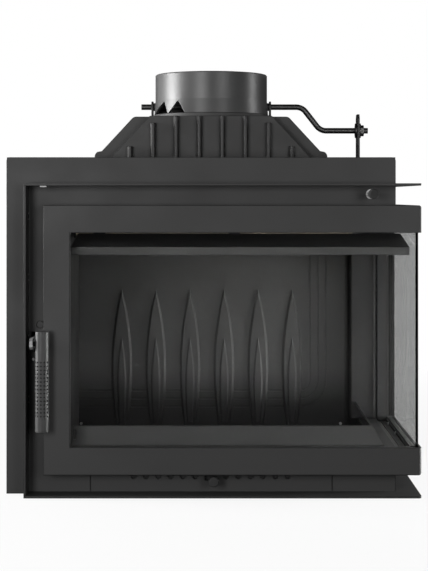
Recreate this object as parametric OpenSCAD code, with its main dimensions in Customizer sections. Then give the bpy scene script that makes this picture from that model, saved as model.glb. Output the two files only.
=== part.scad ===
// Corner fireplace insert with an L-shaped glazed door, a finned hood and a flue damper.
// The origin is on the floor, right under the axis of the flue. +Y goes to the back, +Z up.

/* [Body] */
// From the flue axis to the left side of the body
body_left = 332; // [315:1:360]
// From the flue axis to the right side of the body
body_right = 301; // [290:1:320]
// From the flue axis to the front plate
body_front = 215; // [205:1:235]
// From the flue axis to the back
body_back = 215; // [200:1:260]
// Height of the body
body_h = 547; // [535:1:600]
// Thickness of the body's plates
plate_t = 5; // [4:0.5:8]
// Radius of the front plate's upper corners
corner_r = 6; // [2:0.5:12]

/* [Trim] */
// How far the door and the trim stand out of the body
proud = 37; // [34:1:44]
// Thickness of the trim
trim_t = 3.7; // [3:0.1:5]
// From the flue axis to the outer face of the left trim
trim_left = 299.3; // [296:0.1:305]
// From the body's top down to the top trim's upper face
trim_drop = 42.7; // [36:0.1:46]
// Width of the small tab under the top trim
tab_w = 10; // [6:0.5:14]
// Height of the small tab
tab_h = 2.4; // [1.5:0.1:4]

/* [Door] */
// From the flue axis to the door's left edge
door_left = 267.3; // [262:0.1:270]
// Height of the door's lower edge
door_bottom = 37; // [36.5:0.5:40]
// From the body's top down to the door's upper edge
door_drop = 78; // [73:1:83]
// From the flue axis to the rear end of the door's side leg
door_back = 113; // [108:1:125]
// Width of the left and rear stiles
stile_w = 42; // [38:1:46]
// Height of the top and bottom rails
rail_w = 44; // [42:1:48]
// Thickness of the door's sheet
door_sheet = 4; // [3:0.5:5]
// Bend radius at the door's front right corner
bend_r = 5; // [3:0.5:8]
// Thickness of the glass
glass_t = 4; // [3:0.5:5]
// How far the door opens, which sets the hinge's place only by its reach
hinge_reach = 12; // [11:0.5:16]

/* [Handle] */
// Outer radius of the grip tube
grip_r = 11; // [9:0.5:12]
// Wall of the grip tube
grip_wall = 1.4; // [1:0.1:2]
// Length of the grip tube
grip_len = 160; // [140:1:180]
// Height of the grip's upper end
grip_top_z = 269.4; // [266:0.2:272]
// Gap between the grip and the door's face
grip_gap = 10; // [10:0.5:16]
// Rows of holes in the grip
hole_rows = 15; // [9:1:17]
// Distance between the rows of holes
hole_pitch = 6.1; // [5:0.1:7]
// Diameter of a hole in the grip
hole_d = 2.8; // [1.5:0.1:3]
// Thickness of the latch plate
hook_t = 5; // [3:0.5:6]

/* [Firebox] */
// From the flue axis to the inner left wall
fire_left = 246; // [240:1:252]
// From the body's top down to the fire opening's upper edge
opening_drop = 102; // [97:1:107]
// Height of the sill's upper face
sill_z = 77; // [76:0.5:79]
// Thickness of the sill plate
sill_t = 4; // [3:0.5:5]
// From the flue axis back to the back plate's face
fireback_y = 115; // [105:1:125]
// Thickness of the cast back plate
fireback_t = 12; // [10:0.5:16]
// Height of the basin's floor
basin_z = 47; // [44:0.5:52]
// Thickness of the cast basin
basin_t = 5; // [4:0.5:7]
// From the flue axis back to the right rear post
post_y = 77; // [72:1:84]
// From the flue axis to the post's inner edge
post_x = 256; // [253:0.5:260]

/* [Back plate relief] */
// Number of raised leaves
leaves = 6; // [4:1:7]
// Distance between the leaves
leaf_pitch = 63.2; // [55:0.2:68]
// Middle of the row of leaves, from the flue axis
leaf_mid_x = -8.6; // [-14:0.2:0]
// Height of the outer tips
leaf_tip_z = 317; // [290:1:340]
// Height of the widest place
leaf_wide_z = 170; // [150:1:190]
// Half of the widest width
leaf_half_w = 21.2; // [17:0.2:23]
// Half width near the floor
leaf_foot_w = 12.5; // [10:0.5:15]
// How far a leaf stands out of the plate
leaf_rise = 4.5; // [2:0.5:6]
// Width of the leaf's sloping flank
leaf_flank = 6; // [4:0.5:7]
// Height of the inner leaf's tip
inner_tip_z = 223; // [200:1:240]
// Half width of the inner leaf
inner_half_w = 8.8; // [6:0.2:11]
// How far the inner leaf stands out of its leaf
inner_rise = 2.2; // [1:0.2:3]
// Depth of the border grooves
groove_depth = 1.6; // [1:0.2:3]
// Width of a border groove
groove_w = 3; // [2:0.2:5]
// Distance between the border grooves
groove_pitch = 14.8; // [10:0.2:18]

/* [Log guard] */
// Height of the guard's upper edge
guard_top_z = 107; // [98:1:120]
// How far the guard leans inward
guard_lean = 18.5; // [14:0.5:22]
// Thickness of the guard
guard_t = 4; // [3:0.5:5]

/* [Air deflector] */
// From the fire opening's upper edge down to the lip's lower edge
lip_drop = 57; // [53:1:65]
// Height of the lip
lip_h = 13; // [10:0.5:16]
// How far the slope reaches back from the lip
slope_run = 113; // [100:1:120]
// How much the slope rises
slope_rise = 19; // [14:0.5:24]
// Thickness of the deflector
deflector_t = 3.5; // [2.5:0.5:4]

/* [Hood] */
// Height of the hood
hood_h = 73; // [68:1:85]
// Wall of the hood
hood_wall = 6; // [5:0.5:8]
// From the collar's side to the hood's foot flange
hood_foot_out = 100.4; // [96:0.2:107]
// From the collar's side to the hood's side above the flange
hood_waist_out = 88; // [81:0.5:91]
// From the collar's side to the hood's shoulder
hood_shoulder_out = 39; // [33:0.5:46]
// How far the wide part's front lies inside the collar's front
hood_front_in = 7; // [3:1:9]
// From the collar's side to the foot of the finned bay
bay_foot_out = 69; // [61:1:76]
// From the collar's side to the top of the finned bay
bay_top_out = 4.5; // [1:0.5:11]
// From the collar's front to the finned bay's front
bay_front_out = 17; // [14:1:20]
// Number of fins on each bay
fins = 8; // [6:2:8]
// Distance between the fins
fin_pitch = 39; // [36:0.5:42]
// How far a fin stands out
fin_out = 14; // [8:0.5:18]
// Thickness of a fin at its edge
fin_t = 3.7; // [3:0.1:6]
// How much wider a fin is at its root, to each side
fin_draft = 3; // [0.5:0.1:4]

/* [Flue] */
// Outer radius of the collar, which takes the flue pipe
flue_r = 99; // [95:0.5:102]
// How far the collar's foot stands out of its upper part
flue_foot_out = 2; // [0.5:0.5:5]
// Wall of the collar
flue_wall = 4.5; // [3:0.5:6]
// Height of the collar
flue_h = 70.5; // [62:0.5:90]
// Height of the tapered foot of the collar
flue_taper_h = 24; // [22:0.5:30]
// How far the ring under the collar stands out of it
ring_out = 3; // [2.5:0.5:9]
// Height of the ring
ring_h = 7.5; // [5:0.5:10]

/* [Damper] */
// Height of the damper shaft above the collar's foot
shaft_up = 14.5; // [13:0.5:20]
// Diameter of the damper shaft
shaft_d = 10; // [8:0.5:11]
// How far the shaft's left end stands out of the collar
shaft_left_out = 25; // [19:1:36]
// From the collar's right side to the start of the crank's bend
crank_start_out = 52; // [46:1:57]
// Radius of the crank
crank_r = 42; // [38:1:44]
// Inside bend radius of the crank, along the bar's middle
crank_bend = 21; // [16:0.5:24]
// Angle of the crank's bends
crank_angle = 52; // [46:1:60]
// Angle of the flap at rest, when it is half open
flap_lean = 45; // [30:1:45]
// From the flue axis to the pull rod
rod_x = 260.5; // [256:0.5:266]
// From the body's top down to the pull rod
rod_drop = 60; // [57:0.5:63]
// Diameter of the pull rod
rod_d = 8; // [6:0.5:10]
// Diameter of the knobs
knob_d = 17; // [14:0.5:20]
// Length of the knobs
knob_len = 15; // [12:0.5:20]
// Width of the lever strip
strip_w = 34; // [26:0.5:38]
// Thickness of the lever strip
strip_t = 4; // [3:0.5:5]

/* [Air register] */
// From the flue axis to the register's left seam
register_left = 195.6; // [185:0.2:205]
// From the flue axis to the register's right seam
register_right = 197.7; // [185:0.2:205]
// Height of the register panel
register_h = 62; // [56:0.5:62]
// Holes on each side of the register
air_holes = 6; // [3:1:7]
// Diameter of an air hole
air_hole_d = 8.5; // [6:0.5:9]
// Distance between the air holes
air_pitch = 20; // [18:0.5:22]
// From the middle to the first air hole
air_first = 25; // [23:0.5:30]
// Height of the air holes
air_z = 28; // [25:0.5:29]
// Height of the air knob
air_knob_z = 25; // [24:0.5:26]
// Place of the air knob with the air shut
air_knob_x = 5; // [4:0.5:6]

/* [Grate] */
// Length of the grate
grate_len = 300; // [260:1:320]
// Depth of the grate
grate_deep = 180; // [150:1:200]
// Thickness of the grate
grate_t = 8; // [6:0.5:10]
// Number of slots in the grate
grate_slots = 12; // [8:1:13]
// Height of the ash pan
pan_h = 28; // [22:0.5:29]
// Sheet of the ash pan
pan_sheet = 1.5; // [1:0.1:2]

/* [Hidden] */
$fn = 48;

// Shared clearances and overruns
over = 1;
seat_gap = 0.3;
run_gap = 0.05;
slide_gap = 0.3;
arc_steps = 8;

// Colours
iron = [0.2, 0.2, 0.2];
inner_iron = [0.14, 0.14, 0.14];
pipe_grey = [0.45, 0.45, 0.46];
steel = [0.72, 0.72, 0.72];
bright = [0.85, 0.85, 0.86];
rope_grey = [0.3, 0.3, 0.29];
clear = [0.8, 0.85, 0.85, 0.3];

// Planes of the body
x_l = -body_left;
x_r = body_right;
y_f = -body_front;
y_b = body_back;
y_fi = y_f + plate_t;
y_bi = y_b - plate_t;
x_li = x_l + plate_t;
x_ri = x_r - plate_t;
z_top = body_h;
z_topi = body_h - plate_t;
floor_z = sill_z - sill_t;
trim_top_z = z_top - trim_drop;
door_top = z_top - door_drop;
opening_top = z_top - opening_drop;
lip_z = opening_top - lip_drop;
rod_z = z_top - rod_drop;

// Widths that follow the collar
hood_foot = flue_r + hood_foot_out;
hood_waist = flue_r + hood_waist_out;
hood_shoulder = flue_r + hood_shoulder_out;
hood_half_d = flue_r - hood_front_in;
bay_foot = flue_r + bay_foot_out;
bay_top = flue_r + bay_top_out;
bay_half_d = flue_r + bay_front_out;
flue_foot_r = flue_r + flue_foot_out;
ring_r = flue_r + ring_out;
shaft_left = flue_r + shaft_left_out;
crank_start = flue_r + crank_start_out;

// Outer planes of the door and the trim
x_out = x_r + proud;
y_out = y_f - proud;

// Boxes and round bars between given corners or ends
module box(lo, hi) {
  translate(lo) cube(hi - lo);
}
module bar_x(x0, x1, y, z, r) {
  translate([x0, y, z]) rotate([0, 90, 0]) cylinder(h = x1 - x0, r = r);
}
module bar_y(y0, y1, x, z, r) {
  translate([x, y1, z]) rotate([90, 0, 0]) cylinder(h = y1 - y0, r = r);
}
module bar_z(z0, z1, x, y, r) {
  translate([x, y, z0]) cylinder(h = z1 - z0, r = r);
}
// A flat shape drawn in X and Z, standing between two depths
module upright(y0, y1) {
  translate([0, y1, 0]) rotate([90, 0, 0]) linear_extrude(y1 - y0) children();
}
// A flat shape drawn in Y and Z, standing between two widths
module sideways(x0, x1) {
  translate([x0, 0, 0]) rotate([90, 0, 90]) linear_extrude(x1 - x0) children();
}
module level(z0, z1) {
  translate([0, 0, z0]) linear_extrude(z1 - z0) children();
}
module rect(lo, hi) {
  translate(lo) square(hi - lo);
}
function arc(c, r, a0, a1, n = arc_steps) =
  r > 0 ? [for (i = [0:n]) let (a = a0 + (a1 - a0) * i / n) c + r * [cos(a), sin(a)]] : [c];

// Body

base_sheet = 4;
module base_plate() color(iron) box([x_li, y_fi, 0], [x_ri, y_bi, base_sheet]);

module casing_left() color(iron) box([x_l, y_fi, 0], [x_li, y_b, z_topi]);

module casing_rear() color(iron) box([x_li, y_bi, 0], [x_ri, y_b, z_topi]);

module casing_right() color(iron) difference() {
  box([x_ri, y_fi, 0], [x_r, y_b, z_topi]);
  box([x_ri - over, y_fi - over, floor_z], [x_r + over, post_y, opening_top]);
}

// The strip's slot and the duct's hole in the top
strip_slot_gap = 2;
throat_half_w = 150;
throat_y0 = -75;
throat_y1 = 85;
throat_sheet = 4;
module casing_top() color(iron) difference() {
  box([x_l, y_fi, z_topi], [x_r, y_b, z_top]);
  box([-throat_half_w, throat_y0, z_topi - over], [throat_half_w, throat_y1, z_top + over]);
  box([rod_x - strip_t / 2 - strip_slot_gap, strip_front - strip_slot_gap, z_topi - over],
      [rod_x + strip_t / 2 + strip_slot_gap, strip_rear + strip_slot_gap, z_top + over]);
}

module front_outline() {
  polygon(concat(
    [[x_l, 0], [x_r, 0]],
    arc([x_r - corner_r, z_top - corner_r], corner_r, 0, 90),
    arc([x_l + corner_r, z_top - corner_r], corner_r, 90, 180)));
}

// Latch plate's place, and the slot that its end goes through
hook_x0 = -286;
hook_x1 = hook_x0 + hook_t;
hook_z0 = 241;
hook_z1 = 258;
pivot_r = 4;
pivot_in = 11;
pivot_down = 6;
pivot_y = y_out + pivot_in;
pivot_z = hook_z1 - pivot_down;
slot_left = 5.5;
slot_right = 7;
slot_under = 11.5;
slot_over = 5;
slot_x0 = hook_x0 - slot_left;
slot_x1 = hook_x1 + slot_right;
slot_z0 = hook_z0 - slot_under;
slot_z1 = hook_z1 + slot_over;
slot_foot = 4;
module latch_slot() {
  polygon([[slot_x0, slot_z1], [slot_x0, slot_z0 + slot_foot * 3], [slot_x0 + slot_foot, slot_z0],
           [slot_x1, slot_z0], [slot_x1, slot_z1]]);
}

// Screws beside the latch slot
plug_x = -277;
plug_z = 274.8;
plug_r = 5.6;
dot_x = -288;
dot_z = 218.4;
dot_r = 2;
bush_r = 6;
bush_head_r = 8;
bush_head_t = 2;
module front_plate() color(iron) upright(y_f, y_fi) difference() {
  front_outline();
  rect([-fire_left, floor_z], [x_r + over, opening_top]);
  rect([-register_left, -over], [register_right, register_h + seat_gap]);
  latch_slot();
  translate([rod_x, rod_z]) circle(bush_r);
  translate([plug_x, plug_z]) circle(plug_r + seat_gap);
  translate([dot_x, dot_z]) circle(dot_r + run_gap);
}

// Trim

trim_pin_d = 2.5;
// Heights of the pin holes as shares of the trim's height
trim_pin_shares = [0.9042, 0.8854, 0.7079, 0.6891, 0.5116, 0.4928, 0.3153, 0.2965];
trim_pin_in = 6;
module trim_left() color(iron) difference() {
  box([-trim_left, y_out, trim_t], [-trim_left + trim_t, y_f, trim_top_z - trim_t]);
  for (share = trim_pin_shares)
    bar_x(-trim_left - over, -trim_left + trim_t + over, y_f - trim_pin_in, trim_top_z * share, trim_pin_d / 2);
}

module trim_plan() {
  difference() {
    polygon(concat([[-trim_left, y_out]], arc([x_out - bend_r, y_out + bend_r], bend_r, -90, 0),
                   [[x_out, door_back], [-trim_left, door_back]]));
    rect([-trim_left - over, y_f], [x_r, door_back + over]);
  }
}

tab_x = -273;
tab_t = 2;
module trim_top() color(iron) {
  level(trim_top_z - trim_t, trim_top_z) trim_plan();
  box([tab_x, y_out + tab_t, trim_top_z - trim_t - tab_h], [tab_x + tab_w, y_out + tab_t * 2, trim_top_z - trim_t]);
}

module trim_bottom() color(iron) level(0, trim_t) trim_plan();

// Hood

hood_z1 = z_top + hood_h;
flange_h = 4;
flange_rise = 10;
shoulder_r = 10;
shoulder_slope = 46;
flange_arc = 60;
function mirrored(half) =
  concat(half, [for (i = [len(half) - 1:-1:0]) [-half[i][0], half[i][1]]]);
// Right half of the wide part, from the foot to the middle of the top
wide_half = concat(
  [[hood_foot, z_top]],
  [[hood_foot, z_top + flange_h]],
  arc([hood_foot - flange_rise, z_top + flange_h], flange_rise, 0, flange_arc, 4),
  [[hood_waist, z_top + flange_h + flange_rise]],
  arc([hood_shoulder - shoulder_r, hood_z1 - shoulder_r], shoulder_r, shoulder_slope, 90, 6));
wide_bore = mirrored([
  [hood_waist - hood_wall, z_top - over],
  [hood_waist - hood_wall, z_top + flange_rise],
  [hood_shoulder - hood_wall, hood_z1 - hood_wall * 2],
  [hood_shoulder - hood_wall * 2, hood_z1 - hood_wall]]);
bay_sole = 3;
bay_bore = mirrored([
  [bay_foot - hood_wall, z_top - over],
  [bay_foot - hood_wall, z_top + bay_sole],
  [bay_top - hood_wall / 2, hood_z1 - hood_wall]]);
bay_shape = mirrored([[bay_foot, z_top], [bay_foot, z_top + bay_sole], [bay_top, hood_z1]]);
// Height of a fin's top, under the bay's sloping flank where it is outside its top
fin_drop = 1;
fin_side_drop = 12.4;
fin_edge_drop = 16.5;
function bay_height(x) =
  x <= bay_top ? hood_z1
  : z_top + bay_sole + (hood_h - bay_sole) * (bay_foot - x) / (bay_foot - bay_top);
function fin_top(x) =
  abs(x) + fin_t < bay_top - fin_pitch / 2 ? hood_z1 - fin_drop
  : abs(x) < bay_top ? hood_z1 - fin_side_drop
  : bay_height(abs(x)) - fin_edge_drop;
// A fin's root goes halfway into the bay's wall
fin_root = hood_wall / 2;
module fin(x) {
  level(z_top, fin_top(x)) polygon([
    [x - fin_t / 2 - fin_draft, -bay_half_d + fin_root], [x - fin_t / 2 - fin_draft, -bay_half_d],
    [x - fin_t / 2, -bay_half_d - fin_out], [x + fin_t / 2, -bay_half_d - fin_out],
    [x + fin_t / 2 + fin_draft, -bay_half_d], [x + fin_t / 2 + fin_draft, -bay_half_d + fin_root]]);
}
module hood_fins() {
  for (i = [0:fins - 1]) fin((i - (fins - 1) / 2) * fin_pitch);
}
module hood() color(iron) {
  difference() {
    union() {
      upright(-hood_half_d, hood_half_d) polygon(mirrored(wide_half));
      upright(-bay_half_d, bay_half_d) polygon(bay_shape);
    }
    upright(-hood_half_d + hood_wall, hood_half_d - hood_wall) polygon(wide_bore);
    upright(-bay_half_d + hood_wall, bay_half_d - hood_wall) polygon(bay_bore);
    bar_z(z_topi, hood_z1 + over, 0, 0, flue_r - flue_wall);
  }
  hood_fins();
  rotate(180) hood_fins();
}

// Flue

ring_z1 = hood_z1 + ring_h;
flue_z1 = ring_z1 + flue_h;
shaft_z = ring_z1 + shaft_up;
shaft_r = shaft_d / 2;
flue_in = flue_r - flue_wall;
flue_chamfer = 1.5;
ring_chamfer = 0.8;
module flue_ring() color(iron) difference() {
  union() {
    bar_z(hood_z1, ring_z1 - ring_chamfer, 0, 0, ring_r);
    translate([0, 0, ring_z1 - ring_chamfer]) cylinder(h = ring_chamfer, r1 = ring_r, r2 = ring_r - ring_chamfer);
  }
  bar_z(hood_z1 - over, ring_z1 + over, 0, 0, flue_in);
}

// Pointed notches in the collar's foot: angle of the tip from the left towards the front,
// reach along the foot to each side of it, and height
notches = [[35, 42, 12.5, 20.5], [55, 22, 15.5, 21]];
module notch(n) {
  rotate(180 + n[0]) sideways(flue_in / 2, flue_foot_r + over * 2)
    polygon([[-n[1], ring_z1 - over], [n[2], ring_z1 - over], [over / 2, ring_z1 + n[3]], [-over / 2, ring_z1 + n[3]]]);
}
bush_flange_r = 10;
bush_flange_t = 3.5;
bush_wall = 2;
bush_sleeve_r = shaft_r + bush_wall;
bush_seat = max(flue_foot_r, ring_r) + seat_gap * 2;
module flue_collar() color(pipe_grey) difference() {
  rotate_extrude($fn = 96) polygon([
    [flue_in, ring_z1], [flue_foot_r, ring_z1], [flue_r, ring_z1 + flue_taper_h],
    [flue_r, flue_z1 - flue_chamfer], [flue_r - flue_chamfer, flue_z1], [flue_in, flue_z1]]);
  for (n = notches) notch(n);
  bar_x(-flue_foot_r - over, flue_foot_r + over, 0, shaft_z, bush_sleeve_r + run_gap);
}

// A sleeve through the collar with a flange whose foot comes down beside the ring onto the hood
module shaft_bushes() color(iron) for (side = [-1, 1]) difference() {
  union() {
    translate([side * (flue_in - over), 0, shaft_z]) rotate([0, 90 * side, 0])
      cylinder(h = bush_seat + bush_flange_t - flue_in + over, r = bush_sleeve_r);
    translate([side * (bush_seat + bush_flange_t / 2), 0, 0]) sideways(-bush_flange_t / 2, bush_flange_t / 2) union() {
      translate([0, shaft_z]) circle(bush_flange_r);
      rect([-bush_flange_r, hood_z1], [bush_flange_r, shaft_z]);
    }
  }
  bar_x(-body_right, body_right, 0, shaft_z, shaft_r + run_gap);
}

// Damper: a bar with an offset crank, whose end runs in the slot of the lever strip. At rest the
// crank hangs straight down and the flap is half open

crank_flat = (crank_r - 2 * crank_bend * (1 - cos(crank_angle))) / sin(crank_angle);
crank_run = 2 * crank_bend * sin(crank_angle) + crank_flat * cos(crank_angle);
strip_x0 = rod_x - strip_t / 2;
strip_x1 = rod_x + strip_t / 2;
washer_t = 2.5;
washer_r = 13;
nut_t = 5.5;
nut_r = 9.8;
pin_over = 7;
pin_x1 = strip_x1 + seat_gap * 2 + washer_t + nut_t + pin_over;
// How far the strip moves to each side of the middle, for the flap to turn by its lean
strip_reach_share = 0.726;
strip_reach = crank_r * strip_reach_share;
strip_rear = strip_w / 2 + strip_reach;
strip_front = -strip_rear;

module at_crank() {
  translate([0, 0, shaft_z]) children();
}
// A bent piece of bar in the plane of X and Z, turning by an angle about a middle point. It is a
// trace slimmer than the straight pieces, which reach a little into it
bend_slim = 0.06;
bend_lap = 0.4;
module bend(mid_x, mid_z, from, turn) {
  translate([mid_x, 0, mid_z]) rotate([90, 0, 0]) rotate(from) rotate_extrude(angle = turn, $fn = 48)
    translate([crank_bend, 0]) circle(shaft_r - bend_slim, $fn = 24);
}
module damper_shaft() color(steel) at_crank() {
  bar_x(-shaft_left, crank_start + bend_lap, 0, 0, shaft_r);
  bend(crank_start, -crank_bend, 90 - crank_angle, crank_angle);
  translate([crank_start + crank_bend * sin(crank_angle), 0, -crank_bend * (1 - cos(crank_angle))])
    rotate([0, 90 + crank_angle, 0]) translate([0, 0, -bend_lap]) cylinder(h = crank_flat + 2 * bend_lap, r = shaft_r);
  bend(crank_start + crank_run, crank_bend - crank_r, 270 - crank_angle, crank_angle);
  bar_x(crank_start + crank_run - bend_lap, pin_x1, 0, -crank_r, shaft_r);
}

flap_gap = 2.5;
flap_t = 2.5;
flap_r = flue_in - flap_gap;
saddle_x = 45;
saddle_w = 16;
saddle_t = 2.5;
saddle_foot = 9;
saddle_rivet_r = 3;
// Turns a shape about the shaft to the flap's place at rest
module at_flap() {
  translate([0, 0, shaft_z]) rotate([flap_lean, 0, 0]) children();
}
module damper_flap() color(iron) at_flap() bar_z(-shaft_r - flap_t, -shaft_r, 0, 0, flap_r);

module flap_saddles() color(steel) at_flap() for (side = [-1, 1]) difference() {
  sideways(side * saddle_x - saddle_w / 2, side * saddle_x + saddle_w / 2) {
    circle(shaft_r + saddle_t + run_gap);
    rect([-shaft_r - saddle_t - saddle_foot, -shaft_r], [shaft_r + saddle_t + saddle_foot, saddle_t - shaft_r]);
  }
  bar_x(-flue_r, flue_r, 0, 0, shaft_r + run_gap / 2);
  box([-flue_r, -flue_r, -flue_r], [flue_r, flue_r, -shaft_r]);
}

module washer(x0) {
  at_crank() difference() {
    bar_x(x0, x0 + washer_t, 0, -crank_r, washer_r);
    bar_x(x0 - over, x0 + washer_t + over, 0, -crank_r, shaft_r + run_gap / 2);
  }
}
module crank_washers() color(steel) {
  washer(strip_x0 - seat_gap - washer_t);
  washer(strip_x1 + seat_gap);
}

module crank_nut() color(steel) at_crank() difference() {
  translate([strip_x1 + seat_gap + washer_t, 0, -crank_r]) rotate([0, 90, 0]) cylinder(h = nut_t, r = nut_r, $fn = 6);
  bar_x(strip_x0, pin_x1, 0, -crank_r, shaft_r + run_gap / 2);
}

// The slot takes the crank's end, which rises as it turns and strays a little from the strip's travel
slot_play = 1.4;
strip_slot_w = shaft_d + 2 * slot_play;
slot_below = 24;
slot_above = 3;
strip_slot_z0 = shaft_z - crank_r - shaft_r - slot_below;
strip_slot_z1 = shaft_z - crank_r * cos(flap_lean) + shaft_r + slot_above;
strip_head = 8.5;
strip_z1 = strip_slot_z1 + strip_head;
strip_lap = 9;
strip_z0 = rod_z - strip_lap;
strip_taper = 7;
strip_half = strip_w / 2;
module lever_strip() color(iron) sideways(strip_x0, strip_x1) difference() {
  polygon([[-strip_half, strip_z0], [strip_half, strip_z0], [strip_half, strip_z1 - strip_taper],
           [strip_half - strip_taper, strip_z1], [strip_taper - strip_half, strip_z1],
           [-strip_half, strip_z1 - strip_taper]]);
  translate([0, strip_slot_z0 + strip_slot_w / 2]) circle(strip_slot_w / 2);
  translate([0, strip_slot_z1 - strip_slot_w / 2]) circle(strip_slot_w / 2);
  rect([-strip_slot_w / 2, strip_slot_z0 + strip_slot_w / 2], [strip_slot_w / 2, strip_slot_z1 - strip_slot_w / 2]);
}

rod_r = rod_d / 2;
knob_gap = 2;
knob_y1 = y_f - bush_head_t - strip_reach - knob_gap;
knob_y0 = knob_y1 - knob_len;
knob_seat = 6;
module pull_rod() color(steel) difference() {
  bar_y(knob_y1 - knob_seat, strip_half, rod_x, rod_z, rod_r);
  box([strip_x0, -strip_half, strip_z0 - over], [strip_x1, strip_half + over, rod_z + rod_d]);
}

// A turned knob with a rounded front, whose bore takes the end of its rod
module knob_shape(r, len, bore_r, bore_deep) {
  edge = len / 5;
  rotate([90, 0, 0]) rotate_extrude() polygon(concat(
    [[bore_r, 0], [r - edge / 2, 0], [r, edge]],
    arc([r - edge, len - edge], edge, 0, 90),
    [[0, len], [0, bore_deep], [bore_r, bore_deep]]));
}
module damper_knob() color(inner_iron) translate([rod_x, knob_y1, rod_z])
  knob_shape(knob_d / 2, knob_len, rod_r + run_gap / 2, knob_seat);

bush_long = 12;
module rod_bush() color(steel) difference() {
  union() {
    bar_y(y_f, y_f + bush_long, rod_x, rod_z, bush_r);
    bar_y(y_f - bush_head_t, y_f, rod_x, rod_z, bush_head_r);
  }
  bar_y(y_f - bush_long, y_f + bush_long + over, rod_x, rod_z, rod_r + run_gap);
}

guide_back = 50;
guide_y = strip_front - guide_back;
guide_half_w = 14;
guide_foot = 12;
module rod_guide() color(inner_iron) difference() {
  union() {
    box([rod_x - guide_half_w, guide_y, rod_z - guide_half_w], [rod_x + guide_half_w, guide_y + plate_t, z_topi]);
    box([rod_x - guide_half_w, guide_y, z_topi - plate_t], [rod_x + guide_half_w, guide_y + plate_t + guide_foot, z_topi]);
  }
  bar_y(guide_y - over, guide_y + plate_t + over, rod_x, rod_z, rod_r + run_gap);
}

// Door: how far each layer lies inside the door's outer faces
glass_in = door_sheet + 1;
retain_in = glass_in + glass_t;
retain_out = retain_in + 8;
leg_t = 3;
frame_in_t = 2;
inner_in = retain_out + frame_in_t;
channel_base = 3;
channel_deep = 9;
channel_wall = 1.5;
seal_w = 10;
flange_in = 33;
door_x0 = -door_left;
light_x0 = door_x0 + stile_w;
light_z0 = door_bottom + rail_w;
light_z1 = door_top - rail_w;
light_y1 = door_back - stile_w;

// Everything inside the door's outer faces by at least the given depth, seen from above
module corner_plan(inset, more = 0) {
  r = max(bend_r - inset, 0);
  polygon(concat(
    [[door_x0 - more, y_out + inset]],
    arc([x_out - inset - r, y_out + inset + r], r, -90, 0),
    [[x_out - inset, door_back + more], [door_x0 - more, door_back + more]]));
}
// An L-shaped layer along the front and the side
module layer(in0, in1, z0, z1) {
  level(z0, z1) difference() {
    corner_plan(in0);
    corner_plan(in1, over);
  }
}

// The frame's long edges on its right are rounded
frame_edge_r = 5;
module edge_round(z, side) upright(y_out - over, door_back + over) difference() {
  rect([x_out - frame_edge_r, z - (frame_edge_r + side * frame_edge_r) / 2 - over],
       [x_out + over, z + (frame_edge_r - side * frame_edge_r) / 2 + over]);
  translate([x_out - frame_edge_r, z - side * frame_edge_r]) circle(frame_edge_r);
}
module door_frame() color(iron) difference() {
  frame_sheets();
  edge_round(door_bottom, -1);
  edge_round(door_top, 1);
}
module frame_sheets() {
  layer(0, door_sheet, door_bottom, light_z0);
  layer(0, door_sheet, light_z1, door_top);
  layer(door_sheet, flange_in, door_bottom, door_bottom + door_sheet);
  layer(door_sheet, flange_in, door_top - door_sheet, door_top);
  box([door_x0, y_out, light_z0], [light_x0, y_out + door_sheet, light_z1]);
  difference() {
    box([door_x0, y_out + door_sheet, door_bottom + door_sheet],
        [door_x0 + door_sheet, y_out + flange_in, door_top - door_sheet]);
    bar_x(door_x0 - over, door_x0 + door_sheet + over, pivot_y, pivot_z, pivot_r + run_gap);
  }
  box([x_out - door_sheet, light_y1, light_z0], [x_out, door_back, light_z1]);
  box([x_out - flange_in, door_back - door_sheet, door_bottom + door_sheet],
      [x_out - door_sheet, door_back, door_top - door_sheet]);
}

// The inner frame's plates stop at the light opening and carry the retainers and the seal
inner_z0 = door_bottom + door_sheet;
inner_z1 = door_top - door_sheet;
stile_lip_x0 = x_r + over * 1.5;
module door_inner_frame() color(inner_iron) {
  difference() {
    union() {
      layer(retain_out, inner_in, inner_z0, light_z0 - leg_t);
      layer(retain_out, inner_in, light_z1 + leg_t, inner_z1);
      box([door_x0 + door_sheet, y_out + retain_out, light_z0 - leg_t], [light_x0 - leg_t, y_out + inner_in, light_z1 + leg_t]);
      box([x_out - inner_in, light_y1, light_z0 - leg_t], [x_out - retain_out, door_back - door_sheet, light_z1 + leg_t]);
    }
    box([door_x0 - over, y_out, door_bottom], [door_x0 + door_sheet, y_f, door_top]);
    box([x_r, door_back - door_sheet, door_bottom], [x_out, door_back + over, door_top]);
  }
  box([stile_lip_x0, light_y1, floor_z + seat_gap * 2], [x_out - inner_in, light_y1 + frame_in_t, opening_top - seat_gap * 2]);
}

glass_lap = 14;
glass_z0 = light_z0 - glass_lap;
glass_z1 = light_z1 + glass_lap;
module front_glass() color(clear)
  box([light_x0 - glass_lap, y_out + glass_in, glass_z0], [x_out - glass_in, y_out + retain_in, glass_z1]);
module side_glass() color(clear)
  box([x_out - retain_in, y_out + retain_in + seat_gap, glass_z0], [x_out - glass_in, light_y1 + glass_lap, glass_z1]);

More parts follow.
